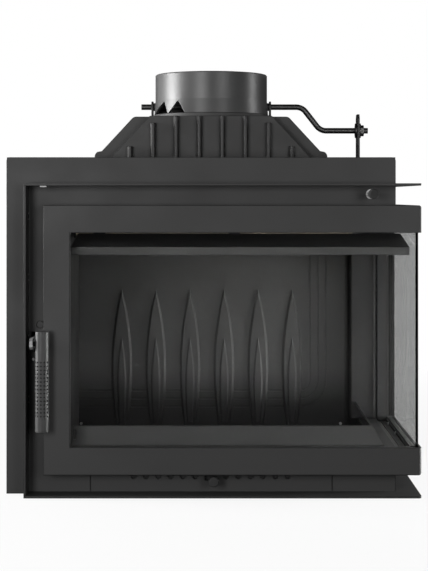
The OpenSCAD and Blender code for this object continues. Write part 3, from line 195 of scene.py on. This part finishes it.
floor_paint = bpy.data.materials.new("floor_paint")
floor_paint.use_nodes = True
tree = floor_paint.node_tree
tree.nodes.clear()
seen = background_rays(tree)
glow = tree.nodes.new("ShaderNodeEmission")
glow.inputs["Color"].default_value = WHITE
glow.inputs["Strength"].default_value = 1
shade = tree.nodes.new("ShaderNodeMapRange")
shade.inputs["To Min"].default_value = DARK_FLOOR
shade.inputs["To Max"].default_value = LIGHT_FLOOR
tree.links.new(seen, shade.inputs["Value"])
matt = tree.nodes.new("ShaderNodeBsdfDiffuse")
tree.links.new(shade.outputs[0], matt.inputs["Color"])
around = tree.nodes.new("ShaderNodeVectorMath")
around.operation = "LENGTH"
tree.links.new(tree.nodes.new("ShaderNodeTexCoord").outputs["Object"], around.inputs[0])
fade = tree.nodes.new("ShaderNodeMapRange")
fade.inputs["From Min"].default_value, fade.inputs["From Max"].default_value = SHADOW_REACH
fade.inputs["To Min"].default_value, fade.inputs["To Max"].default_value = GLOW_SHARE
tree.links.new(around.outputs["Value"], fade.inputs["Value"])
share = tree.nodes.new("ShaderNodeMath")
share.operation = "MULTIPLY"
tree.links.new(seen, share.inputs[0])
tree.links.new(fade.outputs[0], share.inputs[1])
choose = tree.nodes.new("ShaderNodeMixShader")
out = tree.nodes.new("ShaderNodeOutputMaterial")
tree.links.new(share.outputs[0], choose.inputs["Fac"])
tree.links.new(matt.outputs[0], choose.inputs[1])
tree.links.new(glow.outputs[0], choose.inputs[2])
tree.links.new(choose.outputs[0], out.inputs["Surface"])
floor.data.materials.append(floor_paint)
print("floor paint: matt share", round(1 - GLOW_SHARE[0], 2), "near,", round(1 - GLOW_SHARE[1], 2), "far")

# %% [markdown]
# ## Building a finish
# A finish could be a picture wrapped round each piece, but then every piece would need unfolding,
# and the picture would show seams. Here every finish is made from noise, which fills space and
# has no seams. The helpers make a noise pattern at a real scale in metres, turn it into a colour
# or a gloss between two limits, and press it into the surface as a bump.

# %% Helpers for finishes
class Finish:
    """One material, with the few nodes that every finish here needs."""

    def __init__(self, name):
        self.material = bpy.data.materials.new(name)
        self.material.use_nodes = True
        self.tree = self.material.node_tree
        self.tree.nodes.clear()
        self.surface = self.node("ShaderNodeBsdfPrincipled")
        self.output = self.node("ShaderNodeOutputMaterial")
        self.link(self.surface.outputs[0], self.output.inputs["Surface"])
        self.place = self.node("ShaderNodeTexCoord").outputs["Object"]
        self.normal = None

    def node(self, kind):
        """A new node of a kind."""
        return self.tree.nodes.new(kind)

    def link(self, source, target):
        """Joins two sockets."""
        self.tree.links.new(source, target)

    def noise(self, size, detail=3, stretch=(1, 1, 1), rough=0.5):
        """A cloudy pattern whose blobs are about size metres across."""
        mapping = self.node("ShaderNodeMapping")
        mapping.inputs["Scale"].default_value = [1 / (size * s) for s in stretch]
        self.link(self.place, mapping.inputs["Vector"])
        cloud = self.node("ShaderNodeTexNoise")
        cloud.inputs["Scale"].default_value = 1
        cloud.inputs["Detail"].default_value = detail
        cloud.inputs["Roughness"].default_value = rough
        self.link(mapping.outputs[0], cloud.inputs["Vector"])
        return cloud.outputs["Fac"]

    def between(self, pattern, low, high, start=0.35, end=0.65):
        """Turns a pattern into a number between two limits."""
        span = self.node("ShaderNodeMapRange")
        self.link(pattern, span.inputs["Value"])
        for name, value in (("From Min", start), ("From Max", end), ("To Min", low), ("To Max", high)):
            span.inputs[name].default_value = value
        return span.outputs[0]

    def colours(self, pattern, dark, light, start=0.3, end=0.7):
        """Turns a pattern into a colour between two colours."""
        ramp = self.node("ShaderNodeValToRGB")
        stops = ramp.color_ramp.elements
        for stop, place, colour in ((stops[0], start, dark), (stops[1], end, light)):
            stop.position = place
            stop.color = (*colour, 1)
        self.link(pattern, ramp.inputs["Fac"])
        return ramp.outputs["Color"]

    def press(self, pattern, depth):
        """Presses a pattern into the surface, depth metres deep."""
        bump = self.node("ShaderNodeBump")
        bump.inputs["Distance"].default_value = depth
        bump.inputs["Strength"].default_value = 1
        self.link(pattern, bump.inputs["Height"])
        if self.normal is not None:
            self.link(self.normal, bump.inputs["Normal"])
        self.normal = bump.outputs["Normal"]

    def done(self, colour, rough, **fixed):
        """Connects what was made and sets what is the same all over."""
        self.link(colour, self.surface.inputs["Base Color"])
        if isinstance(rough, float):
            self.surface.inputs["Roughness"].default_value = rough
        else:
            self.link(rough, self.surface.inputs["Roughness"])
        if self.normal is not None:
            self.link(self.normal, self.surface.inputs["Normal"])
        for name, value in fixed.items():
            self.surface.inputs[name.replace("_", " ")].default_value = value
        return self.material


def grey(level, warm=0.0):
    """A near-neutral colour, a little warmer or cooler."""
    return (level * (1 + warm), level, level * (1 - warm))


print("helpers for finishes:", [name for name in vars(Finish) if not name.startswith("_")])

# %% [markdown]
# ## Folds and heights
# The coats here change from place to place. Along folds the paint turns smoother, and darker as painted
# shade for the dark lines that folds show. Low down in the firebox, painted shade darkens the plates,
# and below a given height two small pieces are worn to bare steel. A mask could be painted on each
# piece, but two measures find those places on any piece: how far a rounded normal leans from the
# true one, and the height above the floor.

# %% Helpers for coats that change
class Coat(Finish):
    """A finish that is softened at edges and can change at folds and with height."""

    FOLD_BAND = 0.003
    BEVEL_SAMPLES = 8

    def rounded_normal(self, radius):
        """The normal of the surface as if its edges were rounded by a radius in metres."""
        bevel = self.node("ShaderNodeBevel")
        bevel.samples = self.BEVEL_SAMPLES
        bevel.inputs["Radius"].default_value = radius
        return bevel.outputs["Normal"]

    def soften(self, radius):
        """Rounds the look of sharp edges. The fold is zero on flat faces and one beside an edge."""
        self.normal = self.rounded_normal(radius)
        flat = self.node("ShaderNodeVectorMath")
        flat.operation = "DOT_PRODUCT"
        self.link(self.rounded_normal(self.FOLD_BAND), flat.inputs[0])
        self.link(self.node("ShaderNodeNewGeometry").outputs["True Normal"], flat.inputs[1])
        self.fold = self.between(flat.outputs["Value"], 0, 1, start=0.998, end=0.95)

    def height(self, low, high):
        """Zero below one height above the floor and one above another, in metres."""
        axes = self.node("ShaderNodeSeparateXYZ")
        self.link(self.place, axes.inputs[0])
        return self.between(axes.outputs["Z"], 0, 1, low, high)

    def tinted(self, how, first, second):
        """A colour that goes over from a first one to a second, where how goes from zero to one."""
        mix = self.node("ShaderNodeMix")
        mix.data_type = "RGBA"
        self.link(how, mix.inputs["Factor"])
        for socket, colour in ((mix.inputs[6], first), (mix.inputs[7], second)):
            if isinstance(colour, tuple):
                socket.default_value = (*colour, 1)
            else:
                self.link(colour, socket)
        return mix.outputs[2]

    def at_folds(self, usual, there):
        """A number that goes over to another value at folds."""
        mix = self.node("ShaderNodeMix")
        self.link(self.fold, mix.inputs["Factor"])
        self.link(usual, mix.inputs["A"])
        mix.inputs["B"].default_value = there
        return mix.outputs["Result"]


print("helpers for coats:", [name for name in vars(Coat) if name.islower() and not name.startswith("_")])

# %% [markdown]
# ## Black paint on sheet steel
# The body, the door and the trim are bent sheet with a matt heat-proof paint. It dries with a
# very fine grain, and handling leaves it a little glossier in broad patches. One even grey would
# look like plastic, so two noises give the grain and a broad one the patches. Two pieces show
# bare steel below a certain height, where a second material would need a cut through the piece:
# the clip under the top trim, and the smaller of the screws beside the latch.

# %% Sheet paint
PAINT_IOR = 1.45
FOLD_GLOSS = 0.42
BARE_STEEL = 0.5
CLIP_FACE = (0.5002, 0.5004)
BETWEEN_SCREWS = (0.25, 0.26)


def sheet_paint(name, level, gloss=(0.5, 0.62), edge=0.0012, bare=None, shine=0.5):
    """Matt paint on folded sheet, worn to bare steel below a height where one is given."""
    paint = Coat(name)
    paint.soften(edge)
    patches = paint.noise(0.11, 4)
    paint.press(paint.noise(0.0011, 2), 0.00005)
    paint.press(paint.noise(0.006, 2), 0.00007)
    colour = paint.colours(patches, grey(level * 0.93), grey(level * 1.07, 0.01))
    # Painted shade: beside every edge the paint darkens, for the dark lines that folds show.
    colour = paint.tinted(paint.fold, colour, grey(level * 0.2))
    if bare:
        colour = paint.tinted(paint.height(*bare), grey(BARE_STEEL), colour)
    rough = paint.at_folds(paint.between(patches, *gloss), FOLD_GLOSS)
    return paint.done(colour, rough, IOR=PAINT_IOR, Specular_IOR_Level=shine)


SHEET = sheet_paint("sheet_paint", 0.03)
TOP_TRIM = sheet_paint("top_trim_paint", 0.03, edge=0.0006, bare=CLIP_FACE)
PLUGS = sheet_paint("plug_paint", 0.03, bare=BETWEEN_SCREWS)
DOOR = sheet_paint("door_paint", 0.032, edge=0.0016)
# Painted shade: a darker copy of the sheet paint, for the deflector, guard and sill inside the firebox.
INSIDE = sheet_paint("inside_paint", 0.02, gloss=(0.55, 0.68))
INNER = sheet_paint("inner_paint", 0.02, gloss=(0.55, 0.7))
# Painted shade: a darker and duller copy of the sheet paint, for walls, post, frames and ducts deep in the
# firebox.
SHADED_INSIDE = sheet_paint("shaded_inside_paint", 0.012, gloss=(0.65, 0.8), shine=0.2)
print("sheet paints:", [paint.name for paint in (SHEET, TOP_TRIM, PLUGS, DOOR, INSIDE, INNER, SHADED_INSIDE)])

# %% [markdown]
# ## Painted casting
# The hood and the plates inside are sand castings. The sand leaves a coarse, uneven skin that
# paint only half fills, so the same paint looks rougher and duller on them. Real relief would
# need millions of faces, so the skin is two bumps. Inside, painted shade takes both colour and
# shine from the foot of the plates, for the shadow that the guard and the door's rail cast there.

# %% Castings
SAND_SKIN = 0.00016
SHADE_HEIGHTS = (0.1, 0.165)
SHADE_SHINE, LIT_SHINE = 0.2, 0.5


def casting(name, level, gloss=(0.52, 0.68)):
    """The skin of a sand casting and its blotchy paint: the finish, its colour and its gloss."""
    cast = Coat(name)
    cast.soften(0.0012)
    cast.press(cast.noise(0.0022, 4, rough=0.6), SAND_SKIN)
    cast.press(cast.noise(0.014, 2), SAND_SKIN * 2)
    patches = cast.noise(0.07, 5, rough=0.6)
    colour = cast.colours(patches, grey(level * 0.85), grey(level * 1.1, 0.015), 0.25, 0.75)
    return cast, colour, cast.between(patches, *gloss)


def hood_casting(name, level):
    """A casting out of the fire, with painted shade along its edges, which are also glossier."""
    cast, colour, rough = casting(name, level)
    # Painted shade: the casting darkens beside its edges, for the dark lines along them.
    colour = cast.tinted(cast.fold, colour, grey(level * 0.35))
    return cast.done(colour, cast.at_folds(rough, FOLD_GLOSS), IOR=PAINT_IOR)


def firebox_casting(name, level):
    """A casting in the fire, with painted shade on its lower part."""
    cast, colour, rough = casting(name, level, gloss=(0.6, 0.75))
    # Painted shade: below these heights the plates darken and lose their shine.
    lit = cast.height(*SHADE_HEIGHTS)
    colour = cast.tinted(lit, grey(level * 0.2), colour)
    shine = cast.between(lit, SHADE_SHINE, LIT_SHINE, start=0, end=1)
    cast.link(shine, cast.surface.inputs["Specular IOR Level"])
    return cast.done(colour, rough, IOR=PAINT_IOR)


CAST = hood_casting("hood_casting", 0.044)
FIREBOX = firebox_casting("firebox_casting", 0.024)
print("castings:", [cast.name for cast in (CAST, FIREBOX)])

# %% [markdown]
# ## Collar, grip, knobs and latch
# These small parts have thin, even coats. The collar is rolled sheet with a smoother satin paint
# than the body's, which is why it shows the left lamp as a bright band. The grip is painted tube,
# the knobs have a dull coat, and the latch plate is plated with zinc. The rod in the grip is near
# black as painted shade, so that the grip's holes show dark. They could each have a function, but
# they differ only in numbers, so one makes them all: a fine grain pressed in, a cloud between two
# greys, and a gloss that wanders a little.

# %% Thin coats
def coat(name, edge, grain, depth, cloud, greys, sheen, gloss, **fixed):
    """A thin coat. Grain, cloud and sheen are noises, each given by its size and detail."""
    thin = Coat(name)
    thin.soften(edge)
    thin.press(thin.noise(*grain), depth)
    colour = thin.colours(thin.noise(*cloud), *greys)
    return thin.done(colour, thin.between(thin.noise(*sheen), *gloss), **fixed)


COLLAR = coat("collar_paint", edge=0.0008, grain=(0.0012, 2), depth=0.00003, cloud=(0.05, 4),
              greys=(grey(0.055), grey(0.065)), sheen=(0.05, 4), gloss=(0.34, 0.4), IOR=1.5)
GRIP = coat("grip_paint", edge=0.0004, grain=(0.0009, 2), depth=0.00001, cloud=(0.02, 3),
            greys=(grey(0.036), grey(0.042)), sheen=(0.006, 2), gloss=(0.36, 0.46))
# Painted shade: the rod is near black, so that the grip's holes show dark.
ROD_SHADE = coat("rod_black", edge=0.0004, grain=(0.001, 2), depth=0.00002, cloud=(0.02, 3),
            greys=(grey(0.002), grey(0.003)), sheen=(0.006, 2), gloss=(0.6, 0.7), Specular_IOR_Level=0.1)
KNOB = coat("knob_paint", edge=0.0006, grain=(0.0015, 3), depth=0.00004, cloud=(0.01, 3),
            greys=(grey(0.036), grey(0.042)), sheen=(0.004, 2), gloss=(0.6, 0.7), Specular_IOR_Level=0.1)
ZINC = coat("zinc_plate", edge=0.0005, grain=(0.0012, 3), depth=0.00003, cloud=(0.006, 4),
            greys=(grey(0.26), grey(0.32, -0.01)), sheen=(0.004, 2), gloss=(0.4, 0.5), Metallic=0.3)
print("thin coats:", [thin.name for thin in (COLLAR, GRIP, ROD_SHADE, KNOB, ZINC)])

# %% [markdown]
# ## Plain steel
# The damper's shaft is drawn bar, dark from the mill, and the screws and pins are turned steel.
# Both carry fine scratches from making. A stretched noise gives lines that run along the bar,
# where brushed anisotropy would need a direction on every face.

# %% Steels
def steel(name, level, gloss, stretch=(1, 1, 1)):
    """Bare steel with fine scratches, which can be stretched along the bar."""
    bar = Coat(name)
    bar.soften(0.0004)
    lines = bar.noise(0.0006, 3, stretch)
    bar.press(lines, 0.00002)
    colour = bar.colours(bar.noise(0.02, 4), grey(level * 0.9, 0.01), grey(level))
    return bar.done(colour, bar.between(lines, *gloss), Metallic=1.0)


BAR = steel("bar_steel", 0.10, gloss=(0.3, 0.46), stretch=(12, 1, 1))
PLAIN = steel("plain_steel", 0.5, gloss=(0.28, 0.42))
print("steels:", [bar.name for bar in (BAR, PLAIN)])

# %% [markdown]
# ## Panes
# The panes are clear fire-proof glass with a faint tint. Real glass bends the light of lamps and
# would leave the firebox dark or full of noise. So rays that look for a lamp meet a plain
# transparent sheet instead, and all other rays meet true glass.

# %% Glass
GLASS_IOR = 1.45
GLASS_TINT = (0.975, 0.98, 0.975, 1)
LAMP_TINT = (0.945, 0.95, 0.945, 1)

pane = Finish("pane_glass")
pane.surface.inputs["Transmission Weight"].default_value = 1
pane.surface.inputs["Base Color"].default_value = GLASS_TINT
pane.surface.inputs["Roughness"].default_value = 0
pane.surface.inputs["IOR"].default_value = GLASS_IOR
through = pane.node("ShaderNodeBsdfTransparent")
through.inputs["Color"].default_value = LAMP_TINT
choose = pane.node("ShaderNodeMixShader")
pane.link(pane.node("ShaderNodeLightPath").outputs["Is Shadow Ray"], choose.inputs["Fac"])
pane.link(pane.surface.outputs[0], choose.inputs[1])
pane.link(through.outputs[0], choose.inputs[2])
pane.link(choose.outputs[0], pane.output.inputs["Surface"])
GLASS = pane.material
print("glass:", GLASS.name)

# %% [markdown]
# ## Rope, tape and board
# The door closes on a knitted glass rope, the side pane is bedded in black woven tape, and the
# baffle over the fire is pressed from mineral flakes. Woven threads could be modelled one by one,
# but they are thinner than a pixel, so a noise drawn out in one direction stands in for them.
# The board's flakes are cells of a cell pattern, each of a slightly different tan.

# %% Woven and pressed stuff
def woven(name, thread, depth, dark, light, **fixed):
    """A dull woven band, whose threads are given by their width."""
    band = Finish(name)
    band.press(band.noise(thread, 2, (1, 1, 3)), depth)
    return band.done(band.colours(band.noise(0.002, 3), dark, light), 0.95, **fixed)


TAPE = woven("glazing_tape", 0.0007, 0.0002, grey(0.002), grey(0.004), Specular_IOR_Level=0.1)
ROPE = woven("seal_rope", 0.0016, 0.0005, grey(0.05, 0.02), grey(0.13, 0.02))

FLAKES_PER_METRE = 420
board = Finish("pressed_board")
flakes = board.node("ShaderNodeTexVoronoi")
flakes.inputs["Scale"].default_value = FLAKES_PER_METRE
board.link(board.place, flakes.inputs["Vector"])
board.press(flakes.outputs["Distance"], 0.0004)
tan = board.colours(flakes.outputs["Color"], (0.20, 0.165, 0.12), (0.36, 0.30, 0.22), 0.1, 0.9)
BOARD = board.done(tan, 0.9)
print("woven and pressed:", [stuff.name for stuff in (TAPE, ROPE, BOARD)])

# %% [markdown]
# ## Who wears what
# Each piece gets one finish. A finish could be named beside each piece, but sixty lines are hard
# to compare, so the list goes by finish, and a change of paint is one line. The set at the end
# shows whether a piece was forgotten.

# %% Give each piece its finish
WEARS = {
    SHEET: ["base_plate", "casing_left", "casing_right", "casing_rear", "casing_top", "front_plate",
            "trim_left", "trim_bottom", "register_panel", "lever_strip", "hinge_brackets", "front_retainer"],
    INSIDE: ["air_deflector", "log_guard", "sill"],
    SHADED_INSIDE: ["rear_post", "door_inner_frame", "liner_left", "firebox_top", "throat_duct", "hangers"],
    TOP_TRIM: ["trim_top"],
    PLUGS: ["keeper_screws"],
    DOOR: ["door_frame", "hinge_leaves"],
    INNER: ["side_retainer", "seal_channel", "pivot_block", "rod_guide", "air_slider"],
    ROD_SHADE: ["handle_rod", "handle_pivot"],
    CAST: ["hood", "flue_ring", "damper_flap", "shaft_bushes"],
    FIREBOX: ["back_plate", "basin", "grate"],
    COLLAR: ["flue_collar"],
    BAR: ["damper_shaft", "pull_rod", "crank_washers", "crank_nut", "flap_saddles"],
    PLAIN: ["rod_bush", "retainer_screws", "plate_screws", "hinge_pins", "keeper", "ash_pan"],
    ZINC: ["latch_hook"],
    GRIP: ["handle_grip", "handle_caps"],
    KNOB: ["damper_knob", "air_knob"],
    GLASS: ["front_glass", "side_glass"],
    ROPE: ["door_seal"],
    BOARD: ["baffle_plate"],
}
for material, names in WEARS.items():
    for name in names:
        mesh = NODES[name].data
        mesh.materials.clear()
        mesh.materials.append(material)
without = sorted(set(NODES) - {name for names in WEARS.values() for name in names})
print("finishes:", len(WEARS), "pieces without one:", without)

# %% [markdown]
# ## Rounded folds
# Bent sheet has no sharp edge: a fold has about the radius of the sheet's thickness, and a sawn
# edge is rubbed down. The bevelled normals above only change the shading. On the sheets that
# stand in front, a Bevel modifier cuts real roundings, which also catch light along the outline.

# %% Round the folds
FOLD_RADIUS = {
    "front_plate": 0.002, "door_frame": 0.0022, "trim_top": 0.0006, "trim_bottom": 0.0006,
    "trim_left": 0.0006, "register_panel": 0.0006, "log_guard": 0.0007, "air_deflector": 0.0007,
}
FOLD_ANGLE = math.radians(40)

for name, radius in FOLD_RADIUS.items():
    rounded = NODES[name].modifiers.new("rounded", "BEVEL")
    rounded.width = radius
    rounded.segments = 3
    rounded.limit_method = "ANGLE"
    rounded.angle_limit = FOLD_ANGLE
    rounded.harden_normals = True
print("rounded sheets:", len(FOLD_RADIUS))

# %% [markdown]
# ## Small pieces
# The packed model leaves out what is only a few millimetres across. Such pieces could be turned
# or swept with modifiers, but each is just a row of like rings, so one helper skins rings into a
# closed solid and another makes the piece and lets it ride on a body of the model.

# %% Make a piece from rings
def piece(name, rings, material, body, smooth=False):
    """A closed solid through rings with the same number of points, which rides on a body."""
    count = len(rings[0])
    points = [point for ring in rings for point in ring]
    faces = [tuple(reversed(range(count))), tuple(range(len(points) - count, len(points)))]
    for row in range(len(rings) - 1):
        low, high = row * count, (row + 1) * count
        for i in range(count):
            j = (i + 1) % count
            faces.append((low + i, low + j, high + j, high + i))
    mesh = bpy.data.meshes.new(name)
    mesh.from_pydata(points, [], faces)
    mesh.polygons.foreach_set("use_smooth", [smooth] * len(mesh.polygons))
    mesh.materials.append(material)
    thing = bpy.data.objects.new(name, mesh)
    bpy.context.scene.collection.objects.link(thing)
    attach(thing, body)


# %% [markdown]
# ## Glazing tape
# A black tape beds the side pane in its rear stile, and shows there as two dark upright lines. A
# dark stripe in the paint would do from afar, but the tape stands a little proud and casts its
# own thin shadow, so it is a band. It is pressed in by hand, so it sways by a tenth of a millimetre.

# %% Glazing tape in the rear stile
STILE_Y = 0.0705
TAPE_PROUD, TAPE_SUNK = 0.0006, 0.0009
TAPE_LOW, TAPE_HIGH = 0.0835, 0.4225
TAPE_STEPS = 40
TAPE_SWAY, SWAY_PER_STEP = 0.0001, 1.7

for name, x, wide in (("tape_inner", 0.3238, 0.0022), ("tape_outer", 0.3273, 0.0015)):
    rings = []
    for i in range(TAPE_STEPS + 1):
        z = TAPE_LOW + (TAPE_HIGH - TAPE_LOW) * i / TAPE_STEPS
        sway = TAPE_SWAY * math.sin(i * SWAY_PER_STEP)
        front, back = STILE_Y - TAPE_PROUD, STILE_Y + TAPE_SUNK
        rings.append([(x + sway, front, z), (x + wide + sway, front, z), (x + wide, back, z), (x, back, z)])
    piece(name, rings, TAPE, "door")
print("tape:", round(TAPE_HIGH - TAPE_LOW, 3), "m long")

# %% [markdown]
# ## Rivets
# Rivets with low round heads sit in pairs in the holes of the left trim. A ball would do for a
# head, but a pressed head is flatter and has a shank that goes into its hole. So a rivet is a
# few rings: the shank, a flat step, and a head that closes in.

# %% Rivets inside the left trim
TRIM_IN = -0.2956
RIVET_Y = -0.221
RIVET_TOP, RIVET_PITCH, RIVET_APART = 0.456, 0.099, 0.0095
RIVET_PAIRS = 4
RIVET_SIDES = 16
TURNS = [side * 2 * math.pi / RIVET_SIDES for side in range(RIVET_SIDES)]
RIVET_PROFILE = ((-0.003, 0.0011), (0.0002, 0.0011), (0.0002, 0.0016), (0.0007, 0.0013), (0.001, 0.0006))

for i in range(RIVET_PAIRS * 2):
    z = RIVET_TOP - i // 2 * RIVET_PITCH - i % 2 * RIVET_APART
    rings = []
    for out, radius in RIVET_PROFILE:
        x = TRIM_IN + out
        rings.append([(x, RIVET_Y + radius * math.cos(turn), z + radius * math.sin(turn)) for turn in TURNS])
    piece("trim_rivet_%d" % (i + 1), rings, PLAIN, "body", smooth=True)

# %% [markdown]
# ## Finish
